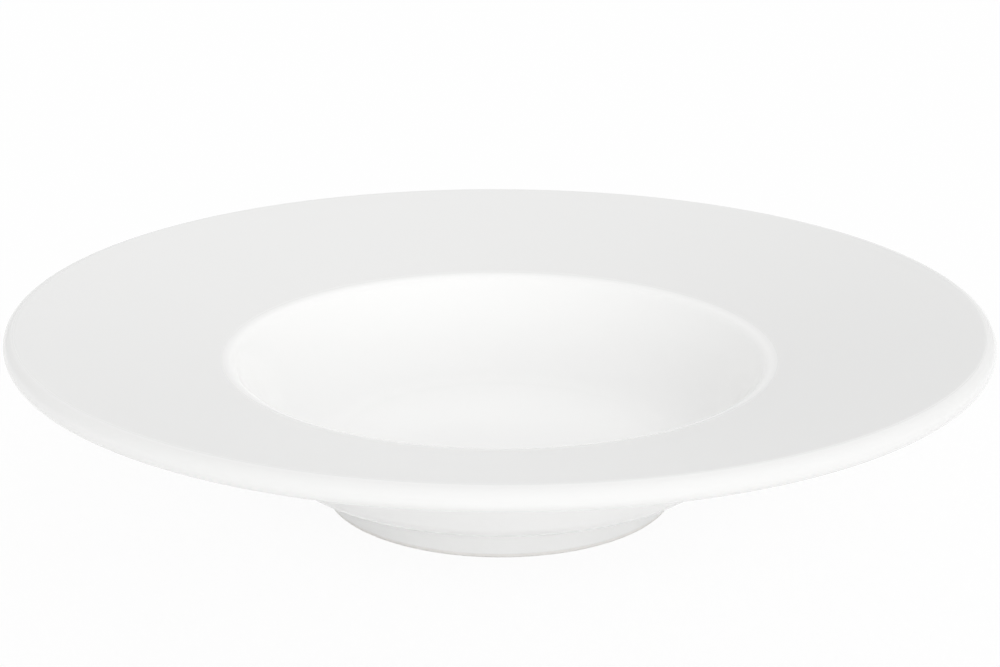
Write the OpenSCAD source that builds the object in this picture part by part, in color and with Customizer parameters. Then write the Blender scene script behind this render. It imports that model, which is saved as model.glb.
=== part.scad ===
// Wide-rimmed pasta bowl in glazed porcelain.
// Every piece is turned about the Z axis, the table is at z = 0, and lengths are in millimetres.

/* [Overall] */
// Diameter over the rim
bowl_d = 270; // [240:1:310]
// Height from the table to the top of the rim
bowl_h = 55; // [48:0.5:66]

/* [Rim] */
// Thickness of the rounded outer edge
edge_t = 6.4; // [4:0.1:9]
// Thickness of the rim beside the well
rim_t = 5.6; // [4:0.1:8]
// Radius of the hollow where the underside of the rim leaves the wall
under_rim_r = 10; // [3:0.5:20]

/* [Well] */
// Diameter of the mouth of the well
mouth_d = 148.4; // [138:0.1:170]
// Drop from the top of the rim to the mouth
mouth_drop = 14.1; // [8:0.1:20]
// Slope of the wall, in degrees from level
wall_angle = 60; // [52:1:70]
// Thickness of the wall
wall_t = 6; // [4:0.1:7.5]
// Thickness of the base
base_t = 4.8; // [3:0.1:7]
// Rounding of the lip between the rim and the well
lip_r = 4.2; // [1:0.1:6]
// Radius between the floor of the well and its wall
floor_r = 26; // [12:0.5:30]
// Radius with which the outside of the wall turns under the base
turn_under_r = 10; // [4:0.5:16]

/* [Foot] */
// Outer diameter of the foot ring at the table
foot_d = 99.6; // [86:0.1:106]
// Height of the base above the table
foot_h = 10.8; // [7:0.1:13]
// Width of the foot ring at the table
foot_w = 5; // [3.6:0.1:8]
// Slope of the outer side of the foot ring, in degrees from level
foot_out_angle = 83; // [75:1:88]
// Slope of the inner side of the foot ring, in degrees from level
foot_in_angle = 80; // [70:1:88]
// Rounding of the two edges that the foot ring stands between
foot_edge_r = 1.2; // [0.5:0.1:1.6]
// Radius between the outer side of the foot ring and the base
foot_root_r = 1.4; // [0.6:0.1:2.4]
// Radius between the inner side of the foot ring and the base
recess_r = 3; // [1:0.1:4]

/* [Glaze] */
// Thickness of the fired glaze
glaze_t = 0.35; // [0.2:0.05:0.5]
// Height of the bare band that is wiped clean along the foot
dry_h = 1.3; // [0.8:0.1:2.5]

/* [Hidden] */
$fn = 180;

// Rounding of the rim's edge, as a share of its thickness: just short of a full half round
edge_round_share = 0.46;
// An arc passes its two tangent lines by this much, so that they cross it cleanly
arc_overlap = 0.002;
// The region of an arc starts and ends at this share of the run to where the arc crosses its line
arc_run_share = 2;
// The tip of that region lies at this share of the corner's height over its chord
arc_tip_share = 2;
// The recess is told from the well at this share of the base's thickness
base_split_share = 0.5;

// Heights of the levels, from the table up
mouth_z = bowl_h - mouth_drop;
floor_z = foot_h + base_t;
seat_z = foot_h - max(foot_root_r, recess_r);

// Rim: its upper face leaves the mouth and runs tangent to the rounded edge
rim_radius = bowl_d / 2;
mouth = [mouth_d / 2, mouth_z];
edge_r = edge_t * edge_round_share;
edge_reach = [rim_radius - edge_r, bowl_h - edge_r] - mouth;
rim_angle = atan2(edge_reach[1], edge_reach[0]) + asin(edge_r / norm(edge_reach));
edge_top = [rim_radius, mouth_z + (rim_radius - mouth[0]) * tan(rim_angle)];
edge_bottom = edge_top - [0, edge_t / cos(rim_angle)];
rim_root = mouth - [0, rim_t / cos(rim_angle)];

// Well: the wall runs straight down from the mouth to the floor
floor_corner = [mouth[0] - (mouth_z - floor_z) / tan(wall_angle), floor_z];
turn_corner = [floor_corner[0] + wall_t / sin(wall_angle) - base_t / tan(wall_angle), foot_h];
wall_dir = [cos(wall_angle), sin(wall_angle)];
under_rim_corner = meet(turn_corner, wall_dir, rim_root, edge_bottom - rim_root);

// Foot: both sides lean, so that the ring is widest at the base
foot_radius = foot_d / 2;
foot_out_top = [foot_radius + foot_h / tan(foot_out_angle), foot_h];
foot_in_top = [foot_radius - foot_w - foot_h / tan(foot_in_angle), foot_h];
foot_mid = foot_radius - foot_w / 2;

// The outside of the wall turns under the base, and stops short of the foot's root.
// Where the foot is as wide as the wall, the wall runs straight onto the side of the foot.
turn_room = turn_corner[0] - foot_out_top[0] - foot_root_r;
turn_r = min(turn_under_r, turn_room / tan(wall_angle / 2));
foot_side = [cos(foot_out_angle), sin(foot_out_angle)];
TURN_UNDER = turn_r > foot_root_r
    ? [[foot_out_top, foot_root_r], [turn_corner, turn_r]]
    : [[meet(foot_out_top, foot_side, turn_corner, wall_dir), foot_root_r]];

// Half section of the glazed bowl: corner and rounding, from the axis under the base outwards,
// round the rim and back to the axis on the floor of the well.
// The wiped band along the foot takes the glaze off again, down to the table.
GLAZED = [
    [[0, foot_h], 0],
    [foot_in_top, recess_r],
    [[foot_radius - foot_w, -glaze_t], foot_edge_r],
    [[foot_radius, -glaze_t], foot_edge_r],
    each TURN_UNDER,
    [under_rim_corner, under_rim_r],
    [edge_bottom, edge_r],
    [edge_top, edge_r],
    [mouth, lip_r],
    [floor_corner, floor_r],
    [[0, floor_z], 0],
];
CLAY = inset(GLAZED, glaze_t);

// Point where two lines meet, each given by a point and a direction
function meet(p, u, q, v) = p + u * cross(q - p, v) / cross(u, v);

function unit(v) = v / norm(v);

// Direction in which the outline leaves corner i, and the turn it makes there, left positive
function dir(outline, i) = unit(outline[(i + 1) % len(outline)][0] - outline[i][0]);
function dir_in(outline, i) = dir(outline, (i + len(outline) - 1) % len(outline));
function turn(outline, i) =
    let (u = dir_in(outline, i), v = dir(outline, i))
    atan2(cross(u, v), u * v);

// Outline moved inwards by a depth, all but the edge that lies on the axis
function edge_depth(outline, i, depth) = i == len(outline) - 1 ? 0 : depth;
function edge_point(outline, i, depth) =
    let (u = dir(outline, i))
    outline[i][0] + [-u[1], u[0]] * edge_depth(outline, i, depth);
function inset_radius(outline, i, depth) =
    let (r = outline[i][1])
    r == 0 ? 0 : r - sign(turn(outline, i)) * depth;
function inset(outline, depth) = [
    for (i = [0 : len(outline) - 1])
        let (before = (i + len(outline) - 1) % len(outline))
        [
            meet(edge_point(outline, before, depth), dir(outline, before),
                 edge_point(outline, i, depth), dir(outline, i)),
            inset_radius(outline, i, depth)
        ]
];

// Where the rounding of corner i starts and ends
function tangent_length(outline, i) = outline[i][1] * tan(abs(turn(outline, i)) / 2);
function round_start(outline, i) = outline[i][0] - dir_in(outline, i) * tangent_length(outline, i);
function round_end(outline, i) = outline[i][0] + dir(outline, i) * tangent_length(outline, i);

// Region between the chord of corner i and its arc, with a short run past both tangent points
module corner_arc(outline, i) {
    r = outline[i][1];
    from = round_start(outline, i);
    to = round_end(outline, i);
    middle = (from + to) / 2;
    bisector = outline[i][0] - middle;
    centre = outline[i][0] - unit(bisector) * r / cos(turn(outline, i) / 2);
    past = sqrt(2 * r * arc_overlap) * arc_run_share;
    intersection() {
        translate(centre) circle(r = r + arc_overlap);
        polygon([
            from - dir_in(outline, i) * past,
            to + dir(outline, i) * past,
            middle + bisector * arc_tip_share,
        ]);
    }
}

// Outline with every corner rounded by a true arc
module rounded(outline) {
    corners = [for (i = [0 : len(outline) - 1]) if (outline[i][1] > 0) i];
    difference() {
        union() {
            polygon([
                for (i = [0 : len(outline) - 1])
                    each outline[i][1] > 0
                        ? [round_start(outline, i), round_end(outline, i)]
                        : [outline[i][0]]
            ]);
            for (i = corners) if (turn(outline, i) > 0) corner_arc(outline, i);
        }
        for (i = corners) if (turn(outline, i) < 0) corner_arc(outline, i);
    }
}

// Glaze all round, before the foot is wiped
module glaze_section() {
    difference() {
        rounded(GLAZED);
        rounded(CLAY);
    }
}

// Everything under the base inside the middle of the foot ring
module recess_side() {
    translate([0, dry_h]) square([foot_mid, foot_h + base_t * base_split_share - dry_h]);
}

// Porcelain body: rim, wall and base, with a low land that the foot ring is luted to
module bowl() {
    color("seashell") rotate_extrude() intersection() {
        rounded(CLAY);
        translate([0, seat_z]) square([rim_radius, bowl_h]);
    }
}

// Porcelain foot ring, luted to the land under the base
module foot_ring() {
    color("linen") rotate_extrude() intersection() {
        rounded(CLAY);
        square([rim_radius, seat_z]);
    }
}

// One unbroken coat of glaze: foot, wall, underside of the rim, edge, rim and well
module glaze_coat() {
    color("white") rotate_extrude() difference() {
        glaze_section();
        recess_side();
        translate([0, -dry_h]) square([rim_radius, 2 * dry_h]);
    }
}

// Glaze inside the foot ring and under the base
module base_glaze() {
    color("white") rotate_extrude() intersection() {
        glaze_section();
        recess_side();
    }
}

bowl();
foot_ring();
glaze_coat();
base_glaze();
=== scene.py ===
"""A wide-rimmed pasta bowl: turned porcelain under a gloss glaze, in a plain white studio.

The file is laid out as an add-on. Each piece of the bowl is drawn as a half section of lines and arcs,
with the same corners as the solid that it stands for, and is then spun about the bowl's axis.
Lengths are in metres, and the table is at z = 0.
"""

import math
from collections import namedtuple

import bpy
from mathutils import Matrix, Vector


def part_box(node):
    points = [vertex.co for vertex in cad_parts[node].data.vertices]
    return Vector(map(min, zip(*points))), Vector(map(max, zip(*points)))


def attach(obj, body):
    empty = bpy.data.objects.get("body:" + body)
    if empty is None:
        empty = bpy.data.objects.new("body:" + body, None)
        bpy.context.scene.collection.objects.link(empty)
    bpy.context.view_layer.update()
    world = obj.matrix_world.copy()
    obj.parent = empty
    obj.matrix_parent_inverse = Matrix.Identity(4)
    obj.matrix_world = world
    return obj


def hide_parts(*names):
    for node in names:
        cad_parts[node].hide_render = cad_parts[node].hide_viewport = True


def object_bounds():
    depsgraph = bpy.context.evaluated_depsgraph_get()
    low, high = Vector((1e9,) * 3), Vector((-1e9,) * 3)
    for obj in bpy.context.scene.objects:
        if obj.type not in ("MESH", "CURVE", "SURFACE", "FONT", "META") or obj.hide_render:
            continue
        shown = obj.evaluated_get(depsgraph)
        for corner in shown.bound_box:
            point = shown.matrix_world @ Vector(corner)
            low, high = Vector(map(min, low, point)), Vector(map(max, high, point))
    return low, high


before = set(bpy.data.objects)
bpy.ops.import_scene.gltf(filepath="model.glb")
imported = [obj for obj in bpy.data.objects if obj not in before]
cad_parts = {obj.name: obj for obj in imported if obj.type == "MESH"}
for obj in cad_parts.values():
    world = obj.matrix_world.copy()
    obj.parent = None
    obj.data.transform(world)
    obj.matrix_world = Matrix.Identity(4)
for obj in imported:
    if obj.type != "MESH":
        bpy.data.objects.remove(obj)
CAD_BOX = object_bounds()

bl_info = {
    "name": "Pasta bowl",
    "version": (1, 0, 0),
    "blender": (4, 5, 0),
    "location": "3D View > Sidebar > Bowl",
    "description": "Turns a wide-rimmed porcelain pasta bowl and glazes it",
    "category": "Add Mesh",
}

BODY = "root"
MM = 0.001

# One corner of a half section: its place in radius and height, its rounding, and whether glaze covers it
Corner = namedtuple("Corner", "place radius covered", defaults=(False,))
# Numbers of the corners at the foot, in the outlines of the glazed bowl and of its clay
FOOT_IN, FOOT_IN_EDGE, FOOT_OUT_EDGE, FOOT_OUT = 1, 2, 3, 4

# A soft light of the studio's tent: azimuth and rise in degrees, how narrow it is, and its strength.
# Azimuth 0 is at the camera, and positive azimuth is to its right.
Softbox = namedtuple("Softbox", "name azimuth rise focus strength")
SOFTBOXES = (
    Softbox("front", 0, 6, 6, 2.4),
    Softbox("front right", 30, 6, 6, 0.42),
    Softbox("back right", 120, 25, 2, 0.56),
    Softbox("back", 180, 20, 2, 0.39),
)


# Settings that a user can change

def length(name, description, default):
    """A length that the user can set, in metres."""
    return bpy.props.FloatProperty(
        name=name, description=description, default=default, min=0.0, precision=5, unit="LENGTH"
    )


def slope(name, description, degrees):
    """An angle that the user can set, given here in degrees."""
    return bpy.props.FloatProperty(
        name=name, description=description, default=math.radians(degrees), subtype="ANGLE"
    )


def colour(name, description, default):
    """A linear colour that the user can set."""
    return bpy.props.FloatVectorProperty(
        name=name, description=description, default=default, min=0.0, max=1.0, size=3, subtype="COLOR"
    )


def number(name, description, default):
    """A plain number that the user can set."""
    return bpy.props.FloatProperty(
        name=name, description=description, default=default, min=0.0, precision=4
    )


class PastaBowlSizes(bpy.types.PropertyGroup):
    """Sizes of the bowl, as the solids have them."""

    rim_d: length("Rim diameter", "Diameter over the rim", CAD_BOX[1].x - CAD_BOX[0].x)
    height: length("Height", "Height from the table to the top of the rim", CAD_BOX[1].z)
    edge_t: length("Edge", "Thickness of the rounded outer edge", 6.4 * MM)
    edge_round: number("Edge rounding", "Rounding of the edge, as a share of its thickness", 0.46)
    rim_t: length("Rim thickness", "Thickness of the rim beside the well", 5.6 * MM)
    under_rim_r: length("Under the rim", "Radius where the underside of the rim leaves the wall", 10 * MM)
    mouth_d: length("Mouth diameter", "Diameter of the mouth of the well", 148.4 * MM)
    mouth_drop: length("Mouth drop", "Drop from the top of the rim to the mouth", 14.1 * MM)
    wall_slope: slope("Wall slope", "Slope of the wall of the well, from level", 60)
    wall_t: length("Wall", "Thickness of the wall", 6 * MM)
    base_t: length("Base", "Thickness of the base", 4.8 * MM)
    lip_r: length("Lip", "Rounding between the rim and the well", 4.2 * MM)
    floor_r: length("Floor radius", "Radius between the floor of the well and its wall", 26 * MM)
    turn_under_r: length("Turn under", "Radius with which the wall turns under the base", 10 * MM)
    foot_d: length("Foot diameter", "Outer diameter of the foot ring at the table", 99.6 * MM)
    foot_h: length("Foot height", "Height of the base above the table", 10.8 * MM)
    foot_w: length("Foot width", "Width of the foot ring at the table", 5 * MM)
    foot_out_slope: slope("Foot outside", "Slope of the outer side of the foot ring, from level", 83)
    foot_in_slope: slope("Foot inside", "Slope of the inner side of the foot ring, from level", 80)
    foot_edge_r: length("Foot edges", "Rounding of the two edges of the foot ring", 1.2 * MM)
    foot_root_r: length("Foot root", "Radius between the foot ring and the turn of the wall", 1.4 * MM)
    recess_r: length("Recess radius", "Radius between the foot ring and the base inside it", 3 * MM)
    seat_h: length("Foot seat", "Height at which the foot ring meets the body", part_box("foot_ring")[1].z)
    glaze_t: length("Glaze", "Thickness of the fired glaze", 0.35 * MM)
    dry_h: length("Bare band", "Height of the bare band along the foot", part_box("glaze_coat")[0].z)
    bead_r: length("Glaze bead", "Rounding of the edge at which the glaze ends", 0.2 * MM)


class PastaBowlMesh(bpy.types.PropertyGroup):
    """How finely the pieces are turned."""

    turns: bpy.props.IntProperty(
        name="Steps round", description="Steps of a full turn", default=320, min=24
    )
    arc_step: slope("Arc step", "Widest step along a rounding", 3)
    covered_step: slope("Covered step", "Widest step along a rounding under the glaze", 12)
    line_step: length("Line step", "Longest step along a straight stretch", 8 * MM)
    weld: length("Weld", "Points closer than this are one", 0.002 * MM)
    crease: slope("Crease", "Sharpest bend that is shaded smooth", 40)


class PastaBowlFinish(bpy.types.PropertyGroup):
    """Colours and surface of the glaze and the bare porcelain."""

    glaze: colour("Glaze", "Colour of the white glaze", (0.96, 0.96, 0.953))
    # Painted shade: a darker tone laid over the rounded edge
    edge_shade_tone: colour("Edge glaze", "Colour where the glaze runs thin over the edge", (0.86, 0.86, 0.853))
    # Painted shade: a darker tone on top of the rim
    rim_shade_tone: colour("Rim glaze", "Colour of the thinner glaze on top of the rim", (0.845, 0.845, 0.838))
    glaze_rough: number("Glaze roughness", "Roughness of the glaze", 0.15)
    rim_rough: number("Rim roughness", "Roughness of the glaze on top of the rim", 0.3)
    glaze_ior: number("Glaze IOR", "Refraction of the glaze, which sets its gloss", 1.5)
    # Edge start and edge full bound the painted shade over the rounded edge
    edge_from: number("Edge start", "Where the edge's glaze starts, in edge roundings from the rim", 1.1)
    edge_full: number("Edge full", "Where the edge's glaze is full, in edge roundings from the rim", 0.5)
    # Rim start, rim full and rim turn bound the painted shade and the rougher satin on top of the rim
    rim_from: length("Rim start", "Distance from the mouth at which the rim's glaze starts", 0.8 * MM)
    rim_full: length("Rim full", "Distance from the mouth at which the rim's glaze is full", 4.2 * MM)
    rim_turn: number("Rim turn", "Upward share of a face's normal at which the rim's glaze is full", 0.2)
    cloud_run: length("Cloud run", "Length of the faint clouds in the glaze", 70 * MM)
    cloud_tone: number("Cloud tone", "Share of the rim's tone that the clouds can take", 0.06)
    cloud_rough: number("Cloud roughness", "Spread of the roughness over the clouds", 0.02)
    wave: length("Glaze wave", "Height of the slow waves in the glaze", 0.015 * MM)
    wave_run: length("Wave run", "Length of the slow waves", 24 * MM)
    peel: length("Orange peel", "Height of the fine ripple in the glaze", 0.0016 * MM)
    peel_run: length("Peel run", "Length of the fine ripple", 2.6 * MM)
    speck: colour("Specks", "Colour of the few specks in the glaze", (0.45, 0.41, 0.35))
    speck_r: length("Speck size", "Radius of a speck", 0.3 * MM)
    speck_cell: length("Speck spacing", "Size of the cells that may hold a speck", 15 * MM)
    speck_share: number("Speck share", "Share of the cells that hold a speck", 0.02)
    bare: colour("Bare porcelain", "Colour of the wiped foot", (0.9, 0.885, 0.86))
    bare_rough: number("Bare roughness", "Least roughness of the wiped foot", 0.75)
    worn: colour("Worn porcelain", "Colour of the faint marks on the standing edge", (0.78, 0.765, 0.74))
    worn_h: length("Worn height", "Height up to which the standing edge is marked", 0.5 * MM)
    worn_run: length("Mark run", "Length of the marks on the standing edge", 7 * MM)
    worn_from: number("Mark start", "Level of the noise at which a mark starts", 0.45)
    worn_full: number("Mark full", "Level of the noise at which a mark is full", 0.75)
    grain: length("Grain", "Height of the fine grain of the wiped foot", 0.01 * MM)
    grain_run: length("Grain run", "Length of the fine grain", 0.6 * MM)
    grain_rough: number("Grain roughness", "Roughness that the fine grain adds", 0.1)
    ring: length("Turning lines", "Height of the turning lines of the wiped foot", 0.006 * MM)
    ring_run: length("Turning line run", "Scale of the turning lines", 2.4 * MM)
    ring_waver: number("Turning line waver", "How much the turning lines waver", 0.4)


class PastaBowlStage(bpy.types.PropertyGroup):
    """Floor, light and camera."""

    floor: colour("Floor", "Colour of the floor", (0.96, 0.96, 0.96))
    floor_size: length("Floor size", "Width of the floor", 12.0)
    shadow: number("Shadow", "Share of the floor's light that the shadow can take", 0.07)
    fill: number("Fill", "Strength of the light from all round", 0.8)
    lamp_size: length("Lamp size", "Width of the soft lamp over the bowl", 1.2)
    lamp_rise: length("Lamp height", "Height of the soft lamp over the table", 0.9)
    lamp_power: bpy.props.FloatProperty(
        name="Lamp power",
        description="Power of the soft lamp over the bowl",
        default=0.22,
        min=0.0,
        unit="POWER",
    )
    camera_reach: length("Camera reach", "Distance from the camera to the middle of the foot", 573.75 * MM)
    camera_rise: slope("Camera rise", "Height of the camera, seen from the middle of the foot", 22.40)
    camera_dip: slope("Camera dip", "How far the camera looks down from level", 18.01)
    camera_roll: slope("Camera roll", "How far the camera leans", 0.217)
    camera_near: length("Camera near end", "Distance from the camera at which it starts to see", 10 * MM)
    focal_px: number("Focal length", "Focal length, in pixels of the photograph", 1992)
    frame_px: number("Frame width", "Width of the photograph, in pixels", 1000)
    sensor_mm: number("Sensor", "Width of the camera's sensor, in millimetres", 36)


# Half section of the bowl

def meet(p, u, q, v):
    """Point where two lines meet, each given by a point and a direction."""
    return p + u * ((q - p).cross(v) / u.cross(v))


def along(angle):
    """Direction that rises at an angle from level."""
    return Vector((math.cos(angle), math.sin(angle)))


def left_of(direction):
    """Direction a quarter turn to the left, which points into the porcelain."""
    return Vector((-direction.y, direction.x))


def glazed_outline(s):
    """Corners of the glazed bowl, from the axis under the base, round the rim, to the axis in the well."""
    mouth = Vector((s.mouth_d / 2, s.height - s.mouth_drop))
    edge_r = s.edge_t * s.edge_round
    reach = Vector((s.rim_d / 2 - edge_r, s.height - edge_r)) - mouth
    rim_slope = math.atan2(reach.y, reach.x) + math.asin(edge_r / reach.length)
    edge_top = mouth + Vector((1, math.tan(rim_slope))) * (s.rim_d / 2 - mouth.x)
    edge_bottom = edge_top - Vector((0, s.edge_t / math.cos(rim_slope)))
    rim_root = mouth - Vector((0, s.rim_t / math.cos(rim_slope)))

    floor_z = s.foot_h + s.base_t
    floor_corner = Vector((mouth.x - (mouth.y - floor_z) / math.tan(s.wall_slope), floor_z))
    wall_run = s.wall_t / math.sin(s.wall_slope) - s.base_t / math.tan(s.wall_slope)
    turn_corner = Vector((floor_corner.x + wall_run, s.foot_h))
    under_rim = meet(turn_corner, along(s.wall_slope), rim_root, edge_bottom - rim_root)

    foot_x = s.foot_d / 2
    foot_out_top = Vector((foot_x + s.foot_h / math.tan(s.foot_out_slope), s.foot_h))
    foot_in_top = Vector((foot_x - s.foot_w - s.foot_h / math.tan(s.foot_in_slope), s.foot_h))
    turn_room = turn_corner.x - foot_out_top.x - s.foot_root_r
    turn_r = min(s.turn_under_r, turn_room / math.tan(s.wall_slope / 2))
    if turn_r <= s.foot_root_r:
        raise ValueError("The foot ring is too wide for the wall to turn under the base")
    return [
        Corner(Vector((0, s.foot_h)), 0),
        Corner(foot_in_top, s.recess_r),
        Corner(Vector((foot_x - s.foot_w, -s.glaze_t)), s.foot_edge_r),
        Corner(Vector((foot_x, -s.glaze_t)), s.foot_edge_r),
        Corner(foot_out_top, s.foot_root_r),
        Corner(turn_corner, turn_r),
        Corner(under_rim, s.under_rim_r),
        Corner(edge_bottom, edge_r),
        Corner(edge_top, edge_r),
        Corner(mouth, s.lip_r),
        Corner(floor_corner, s.floor_r),
        Corner(Vector((0, floor_z)), 0),
    ]


def bend(before, corner, after):
    """Directions into and out of a corner, and the turn between them, left positive."""
    u = (corner - before).normalized()
    v = (after - corner).normalized()
    return u, v, math.atan2(u.cross(v), u.dot(v))


def inset(outline, depth):
    """The same outline, moved inwards by a depth, with both ends still on the axis."""
    places = [corner.place for corner in outline]
    lines = []
    for p, q in zip(places, places[1:]):
        u = (q - p).normalized()
        lines.append((p + left_of(u) * depth, u))
    axis = Vector((0, 0)), Vector((0, 1))
    moved = [Corner(meet(*lines[0], *axis), 0)]
    for i in range(1, len(outline) - 1):
        _, _, turn = bend(*places[i - 1:i + 2])
        place = meet(*lines[i - 1], *lines[i])
        moved.append(Corner(place, outline[i].radius - math.copysign(depth, turn), True))
    moved.append(Corner(meet(*lines[-1], *axis), 0))
    return moved


def at_height(outline, i, z):
    """Sharp corner where the line from corner i to the next one passes a height."""
    p = outline[i].place
    return Corner(meet(p, outline[i + 1].place - p, Vector((0, z)), Vector((1, 0))), 0)


# Turning a piece

def draw_line(pen, place, step):
    """Extrudes the selected point straight to a place, in steps."""
    run = place - pen
    pieces = max(1, math.ceil(run.length / step))
    part = run / pieces
    for _ in range(pieces):
        bpy.ops.mesh.extrude_region_move(TRANSFORM_OT_translate={"value": (part.x, 0, part.y)})


def draw_corner(pen, before, corner, after, mesh):
    """Draws up to a corner and round it, and returns where the pen is then."""
    u, v, turn = bend(before, corner.place, after)
    tangent = corner.radius * math.tan(abs(turn) / 2)
    start = corner.place - u * tangent
    draw_line(pen, start, mesh.line_step)
    if corner.radius == 0:
        return corner.place
    side = math.copysign(1, turn)
    centre = start + left_of(u) * corner.radius * side
    step = mesh.covered_step if corner.covered else mesh.arc_step
    bpy.ops.mesh.spin(
        steps=math.ceil(abs(turn) / step),
        angle=abs(turn),
        center=(centre.x, 0, centre.y),
        axis=(0, side, 0),
        use_auto_merge=False,
    )
    return corner.place + v * tangent


def turn_piece(name, outline, mesh, closed=False):
    """Draws a half section and spins it about the bowl's axis, into one closed skin."""
    if closed:
        outline = outline + outline[:1]
    places = [corner.place for corner in outline]
    pen = places[0]
    bpy.ops.object.select_all(action="DESELECT")
    bpy.ops.mesh.primitive_plane_add(size=mesh.line_step, location=(pen.x, 0, pen.y))
    piece = bpy.context.object
    piece.name = name
    piece.data.name = name
    bpy.ops.object.transform_apply(location=True)
    bpy.ops.object.mode_set(mode="EDIT")
    bpy.ops.mesh.select_all(action="SELECT")
    bpy.ops.mesh.merge(type="CENTER")
    for before, corner, after in zip(places, outline[1:-1], places[2:]):
        pen = draw_corner(pen, before, corner, after, mesh)
    draw_line(pen, places[-1], mesh.line_step)
    bpy.ops.mesh.select_all(action="SELECT")
    bpy.ops.mesh.spin(
        steps=mesh.turns, angle=math.tau, center=(0, 0, 0), axis=(0, 0, 1), use_auto_merge=True
    )
    bpy.ops.mesh.select_all(action="SELECT")
    bpy.ops.mesh.remove_doubles(threshold=mesh.weld)
    bpy.ops.mesh.normals_make_consistent(inside=False)
    bpy.ops.object.mode_set(mode="OBJECT")
    bpy.ops.object.shade_smooth_by_angle(angle=mesh.crease)
    return piece


def dress(piece, node, material):
    """Gives a piece its finish and sets it in the place of a solid."""
    piece.data.materials.clear()
    piece.data.materials.append(material)
    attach(piece, BODY)
    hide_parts(node)


# Shader maths

# Places of a Mix node's colour sockets, because its other kinds have sockets of the same names
MIX_LOW, MIX_HIGH, MIX_RESULT = 6, 7, 2
# Middle of a noise that runs from 0 to 1
NOISE_MIDDLE = 0.5


class Wire:
    """An output socket in a material, on which sums are written as Python expressions."""

    def __init__(self, tree, socket=None):
        self.tree = tree
        self.socket = socket

    def node(self, kind, settings, inputs, output=0):
        """Adds a node with its settings, then its inputs as values or wires, and returns one output."""
        made = self.tree.nodes.new(kind)
        for name, value in settings.items():
            setattr(made, name, value)
        for name, value in inputs.items():
            if isinstance(value, Wire):
                self.tree.links.new(value.socket, made.inputs[name])
            else:
                made.inputs[name].default_value = value
        return Wire(self.tree, made.outputs[output])

    def also(self, output):
        """Another output of the node that this wire comes from."""
        return Wire(self.tree, self.socket.node.outputs[output])

    def surface(self, kind):
        """Makes this shader the surface of its material or world."""
        end = self.tree.nodes.new(kind)
        self.tree.links.new(self.socket, end.inputs["Surface"])

    def math(self, operation, *values):
        """Adds a Math node on values or wires."""
        return self.node("ShaderNodeMath", {"operation": operation}, dict(enumerate(values)))

    def __add__(self, other):
        return self.math("ADD", self, other)

    def __radd__(self, other):
        return self.math("ADD", other, self)

    def __sub__(self, other):
        return self.math("SUBTRACT", self, other)

    def __rsub__(self, other):
        return self.math("SUBTRACT", other, self)

    def __mul__(self, other):
        return self.math("MULTIPLY", self, other)

    def __rmul__(self, other):
        return self.math("MULTIPLY", other, self)

    def __lt__(self, other):
        return self.math("LESS_THAN", self, other)

    def smooth(self, low, high):
        """Rises smoothly from 0 at low to 1 at high."""
        return self.node(
            "ShaderNodeMapRange",
            {"interpolation_type": "SMOOTHSTEP"},
            {"Value": self, "From Min": low, "From Max": high},
        )

    def mix(self, low, high):
        """Blends two colours by this wire."""
        colours = {MIX_LOW: low, MIX_HIGH: high}
        return self.node("ShaderNodeMix", {"data_type": "RGBA"}, {"Factor": self, **colours}, MIX_RESULT)


def opaque(tone):
    """A colour property as the four numbers that a colour socket takes."""
    return (*tone, 1.0)


def empty_wire(owner):
    """A wire in the emptied node tree of a new material or world."""
    owner.use_nodes = True
    owner.node_tree.nodes.clear()
    return Wire(owner.node_tree)


def noise(place, run, detail):
    """Noise from 0 to 1 whose swells are about as long as run."""
    return place.node("ShaderNodeTexNoise", {}, {"Vector": place, "Scale": 1 / run, "Detail": detail})


def relief(height):
    """Normal of a surface that is raised by a height in metres."""
    return height.node("ShaderNodeBump", {}, {"Strength": 1.0, "Distance": 1.0, "Height": height})


# Finishes

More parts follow.
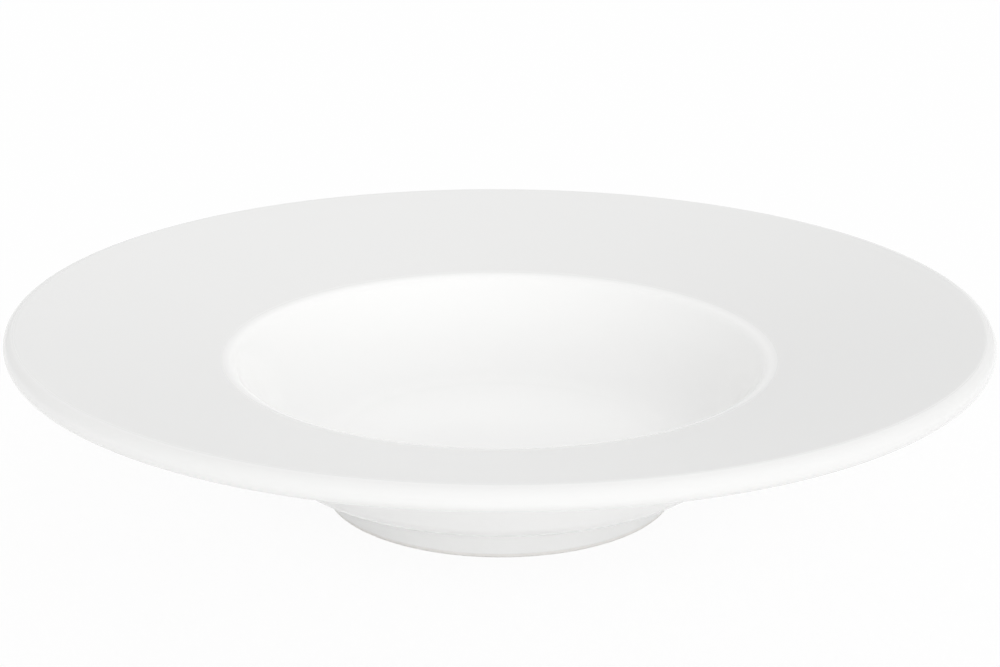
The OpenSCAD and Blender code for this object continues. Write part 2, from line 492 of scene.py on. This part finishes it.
def glaze_finish(name, scene):
    """White gloss glaze: slow waves, a fine ripple, painted shade in darker tones over the edge and on top
    of the rim, a rougher rim, and a few specks.
    """
    finish = scene.bowl_finish
    sizes = scene.bowl_sizes
    material = bpy.data.materials.new(name)
    wire = empty_wire(material)
    place = wire.node("ShaderNodeTexCoord", {}, {}, "Object")
    x = wire.node("ShaderNodeSeparateXYZ", {}, {0: place}, "X")
    y = x.also("Y")
    radius = wire.math("SQRT", x * x + y * y)
    upward = wire.node("ShaderNodeSeparateXYZ", {}, {0: place.also("Normal")}, "Z")

    rim = sizes.rim_d / 2
    mouth = sizes.mouth_d / 2
    edge_r = sizes.edge_t * sizes.edge_round
    # Painted shade: the rounded edge takes the darker edge tone
    edge = radius.smooth(rim - finish.edge_from * edge_r, rim - finish.edge_full * edge_r)
    # Painted shade and a rougher satin finish on the rim's upward faces: a darker tone and a higher
    # roughness
    rim_shade_and_satin = radius.smooth(mouth + finish.rim_from, mouth + finish.rim_full) * (1 - edge)
    rim_shade_and_satin = rim_shade_and_satin * upward.smooth(-finish.rim_turn, finish.rim_turn)
    cloud = noise(place, finish.cloud_run, detail=2)
    tone = edge.mix(opaque(finish.glaze), opaque(finish.edge_shade_tone))
    tone = (rim_shade_and_satin * (1 - cloud * finish.cloud_tone)).mix(tone, opaque(finish.rim_shade_tone))

    cells = {"Vector": place, "Scale": 1 / finish.speck_cell}
    near = wire.node("ShaderNodeTexVoronoi", {}, cells, "Distance")
    chance = wire.node("ShaderNodeSeparateColor", {}, {0: near.also("Color")})
    speck = (1 - near.smooth(0, finish.speck_r / finish.speck_cell)) * (chance < finish.speck_share)
    tone = speck.mix(tone, opaque(finish.speck))

    slow = noise(place, finish.wave_run, detail=1)
    fine = noise(place, finish.peel_run, detail=1)
    rough = finish.glaze_rough + (cloud - NOISE_MIDDLE) * finish.cloud_rough
    rough = rough + rim_shade_and_satin * (finish.rim_rough - finish.glaze_rough)
    shader = wire.node(
        "ShaderNodeBsdfPrincipled",
        {},
        {
            "Base Color": tone,
            "Roughness": rough,
            "IOR": finish.glaze_ior,
            "Normal": relief(slow * finish.wave + fine * finish.peel),
        },
    )
    shader.surface("ShaderNodeOutputMaterial")
    return material


def bare_finish(name, scene):
    """Unglazed porcelain: matt, with turning lines, a fine grain and faint marks where it stands."""
    finish = scene.bowl_finish
    material = bpy.data.materials.new(name)
    wire = empty_wire(material)
    place = wire.node("ShaderNodeTexCoord", {}, {}, "Object")
    height = wire.node("ShaderNodeSeparateXYZ", {}, {0: place}, "Z")
    grain = noise(place, finish.grain_run, detail=3)
    marks = noise(place, finish.worn_run, detail=4)
    rings = wire.node(
        "ShaderNodeTexWave",
        {"wave_type": "RINGS", "rings_direction": "Z"},
        {"Vector": place, "Scale": 1 / finish.ring_run, "Distortion": finish.ring_waver},
        "Fac",
    )
    worn = (1 - height.smooth(0, finish.worn_h)) * marks.smooth(finish.worn_from, finish.worn_full)
    shader = wire.node(
        "ShaderNodeBsdfPrincipled",
        {},
        {
            "Base Color": worn.mix(opaque(finish.bare), opaque(finish.worn)),
            "Roughness": finish.bare_rough + grain * finish.grain_rough,
            "Normal": relief(grain * finish.grain + rings * finish.ring),
        },
    )
    shader.surface("ShaderNodeOutputMaterial")
    return material


FINISHES = {"gloss_glaze": glaze_finish, "bare_porcelain": bare_finish}


def finish_named(name, scene):
    """The material of that name, made the first time it is asked for."""
    made = bpy.data.materials.get(name)
    if made is None:
        made = FINISHES[name](name, scene)
    return made


# Operators, one for each piece

class MESH_OT_bowl_body(bpy.types.Operator):
    """Turn the porcelain body: rim, wall, base and the land that the foot ring is set on"""

    bl_idname = "mesh.bowl_body"
    bl_label = "Porcelain body"

    def execute(self, context):
        sizes = context.scene.bowl_sizes
        clay = inset(glazed_outline(sizes), sizes.glaze_t)
        outline = clay[:FOOT_IN + 1]
        outline.append(at_height(clay, FOOT_IN, sizes.seat_h))
        outline.append(at_height(clay, FOOT_OUT_EDGE, sizes.seat_h))
        outline += clay[FOOT_OUT:]
        piece = turn_piece("porcelain_body", outline, context.scene.bowl_mesh)
        dress(piece, "bowl", finish_named("bare_porcelain", context.scene))
        return {"FINISHED"}


class MESH_OT_bowl_foot(bpy.types.Operator):
    """Turn the foot ring, which is bare along its standing edge"""

    bl_idname = "mesh.bowl_foot"
    bl_label = "Foot ring"

    def execute(self, context):
        sizes = context.scene.bowl_sizes
        clay = inset(glazed_outline(sizes), sizes.glaze_t)
        outline = [
            at_height(clay, FOOT_IN, sizes.seat_h),
            clay[FOOT_IN_EDGE],
            clay[FOOT_OUT_EDGE],
            at_height(clay, FOOT_OUT_EDGE, sizes.seat_h),
        ]
        piece = turn_piece("turned_foot", outline, context.scene.bowl_mesh, closed=True)
        dress(piece, "foot_ring", finish_named("bare_porcelain", context.scene))
        return {"FINISHED"}


class MESH_OT_bowl_glaze(bpy.types.Operator):
    """Lay the coat of glaze over the foot, the wall, the rim and the well"""

    bl_idname = "mesh.bowl_glaze"
    bl_label = "Coat of glaze"

    def execute(self, context):
        sizes = context.scene.bowl_sizes
        glazed = glazed_outline(sizes)
        clay = inset(glazed, sizes.glaze_t)
        end = at_height(glazed, FOOT_OUT_EDGE, sizes.dry_h)
        outline = clay[:FOOT_OUT - 1:-1]
        outline.append(at_height(clay, FOOT_OUT_EDGE, sizes.dry_h))
        outline.append(end._replace(radius=sizes.bead_r))
        outline += glazed[FOOT_OUT:]
        piece = turn_piece("glaze_skin", outline, context.scene.bowl_mesh)
        dress(piece, "glaze_coat", finish_named("gloss_glaze", context.scene))
        return {"FINISHED"}


class MESH_OT_bowl_base_glaze(bpy.types.Operator):
    """Lay the glaze inside the foot ring and under the base"""

    bl_idname = "mesh.bowl_base_glaze"
    bl_label = "Glaze under the base"

    def execute(self, context):
        sizes = context.scene.bowl_sizes
        glazed = glazed_outline(sizes)
        clay = inset(glazed, sizes.glaze_t)
        end = at_height(glazed, FOOT_IN, sizes.dry_h)
        outline = glazed[:FOOT_IN + 1]
        outline.append(end._replace(radius=sizes.bead_r))
        outline.append(at_height(clay, FOOT_IN, sizes.dry_h))
        outline += clay[FOOT_IN::-1]
        piece = turn_piece("base_glaze_skin", outline, context.scene.bowl_mesh)
        dress(piece, "base_glaze", finish_named("gloss_glaze", context.scene))
        return {"FINISHED"}


# Studio

def heading(azimuth, rise):
    """Direction from the bowl towards a place in the studio, from angles in degrees."""
    turn = math.radians(azimuth)
    lift = math.radians(rise)
    return Vector((math.sin(turn) * math.cos(lift), -math.cos(turn) * math.cos(lift), math.sin(lift)))


def in_view(wire):
    """1 where a surface is seen, also in a mirror image or through glass, and 0 where it gives light."""
    camera = wire.node("ShaderNodeLightPath", {}, {}, "Is Camera Ray")
    mirror = camera.also("Is Glossy Ray")
    glass = camera.also("Is Transmission Ray")
    return wire.math("MAXIMUM", wire.math("MAXIMUM", camera, mirror), glass)


def studio_world(stage, softboxes):
    """Light tent: soft light from a few sides, and plain white where it is seen."""
    world = bpy.data.worlds.new("studio")
    wire = empty_wire(world)
    toward = wire.node("ShaderNodeTexCoord", {}, {}, "Generated")
    light = stage.fill
    for box in softboxes:
        facing = wire.node(
            "ShaderNodeVectorMath",
            {"operation": "DOT_PRODUCT"},
            {0: toward, 1: heading(box.azimuth, box.rise)},
            "Value",
        )
        light = light + wire.math("POWER", wire.math("MAXIMUM", facing, 0.0), box.focus) * box.strength
    lit = wire.node("ShaderNodeBackground", {}, {"Strength": light})
    white = wire.node("ShaderNodeBackground", {}, {"Strength": 1.0})
    both = wire.node("ShaderNodeMixShader", {}, {0: in_view(wire), 1: lit, 2: white})
    both.surface("ShaderNodeOutputWorld")
    return world


def floor_finish(stage):
    """White floor: plain where it lights the bowl, and white but for the bowl's shadow where it is seen."""
    material = bpy.data.materials.new("floor")
    wire = empty_wire(material)
    matt = wire.node("ShaderNodeBsdfDiffuse", {}, {"Color": opaque(stage.floor)})
    white = wire.node("ShaderNodeEmission", {}, {"Strength": 1.0})
    shade = wire.node("ShaderNodeMixShader", {}, {0: stage.shadow, 1: white, 2: matt})
    both = wire.node("ShaderNodeMixShader", {}, {0: in_view(wire), 1: matt, 2: shade})
    both.surface("ShaderNodeOutputMaterial")
    return material


class SCENE_OT_bowl_stage(bpy.types.Operator):
    """Set the floor, the light and the camera"""

    bl_idname = "scene.bowl_stage"
    bl_label = "Studio"

    def execute(self, context):
        stage = context.scene.bowl_stage
        bpy.ops.object.select_all(action="DESELECT")
        bpy.ops.mesh.primitive_plane_add(size=stage.floor_size, location=(0, 0, 0))
        floor = context.object
        floor.name = "floor"
        floor.data.materials.append(floor_finish(stage))

        context.scene.world = studio_world(stage, SOFTBOXES)
        bpy.ops.object.light_add(type="AREA", location=(0, 0, stage.lamp_rise))
        lamp = context.object
        lamp.name = "overhead_lamp"
        lamp.data.size = stage.lamp_size
        lamp.data.energy = stage.lamp_power
        lamp.visible_camera = False

        back = Vector((0, -math.cos(stage.camera_rise), math.sin(stage.camera_rise)))
        bpy.ops.object.camera_add(location=back * stage.camera_reach)
        camera = context.object
        camera.rotation_mode = "ZYX"
        camera.rotation_euler = (math.pi / 2 - stage.camera_dip, 0, stage.camera_roll)
        camera.data.sensor_width = stage.sensor_mm
        camera.data.lens = stage.sensor_mm * stage.focal_px / stage.frame_px
        camera.data.clip_start = stage.camera_near
        context.scene.camera = camera
        context.scene.view_settings.view_transform = "Standard"
        return {"FINISHED"}


# Panel and registration

class VIEW3D_PT_bowl(bpy.types.Panel):
    """Pieces of the bowl, and their sizes and finish"""

    bl_label = "Pasta bowl"
    bl_space_type = "VIEW_3D"
    bl_region_type = "UI"
    bl_category = "Bowl"

    def draw(self, context):
        layout = self.layout
        for operator in OPERATORS:
            layout.operator(operator.bl_idname)
        for name, group in SETTINGS.items():
            box = layout.box()
            box.label(text=group.__doc__)
            for prop in group.__annotations__:
                box.prop(getattr(context.scene, name), prop)


SETTINGS = {
    "bowl_sizes": PastaBowlSizes,
    "bowl_mesh": PastaBowlMesh,
    "bowl_finish": PastaBowlFinish,
    "bowl_stage": PastaBowlStage,
}
OPERATORS = (
    MESH_OT_bowl_body,
    MESH_OT_bowl_foot,
    MESH_OT_bowl_glaze,
    MESH_OT_bowl_base_glaze,
    SCENE_OT_bowl_stage,
)


def register():
    """Makes the settings, the operators and the panel known to Blender."""
    for name, group in SETTINGS.items():
        bpy.utils.register_class(group)
        setattr(bpy.types.Scene, name, bpy.props.PointerProperty(type=group))
    for cls in (*OPERATORS, VIEW3D_PT_bowl):
        bpy.utils.register_class(cls)


def unregister():
    """Takes them away again."""
    for cls in (VIEW3D_PT_bowl, *reversed(OPERATORS)):
        bpy.utils.unregister_class(cls)
    for name, group in SETTINGS.items():
        delattr(bpy.types.Scene, name)
        bpy.utils.unregister_class(group)


def main():
    """Makes the bowl and its studio."""
    register()
    bpy.ops.mesh.bowl_body()
    bpy.ops.mesh.bowl_foot()
    bpy.ops.mesh.bowl_glaze()
    bpy.ops.mesh.bowl_base_glaze()
    bpy.ops.scene.bowl_stage()


if __name__ == "__main__":
    main()
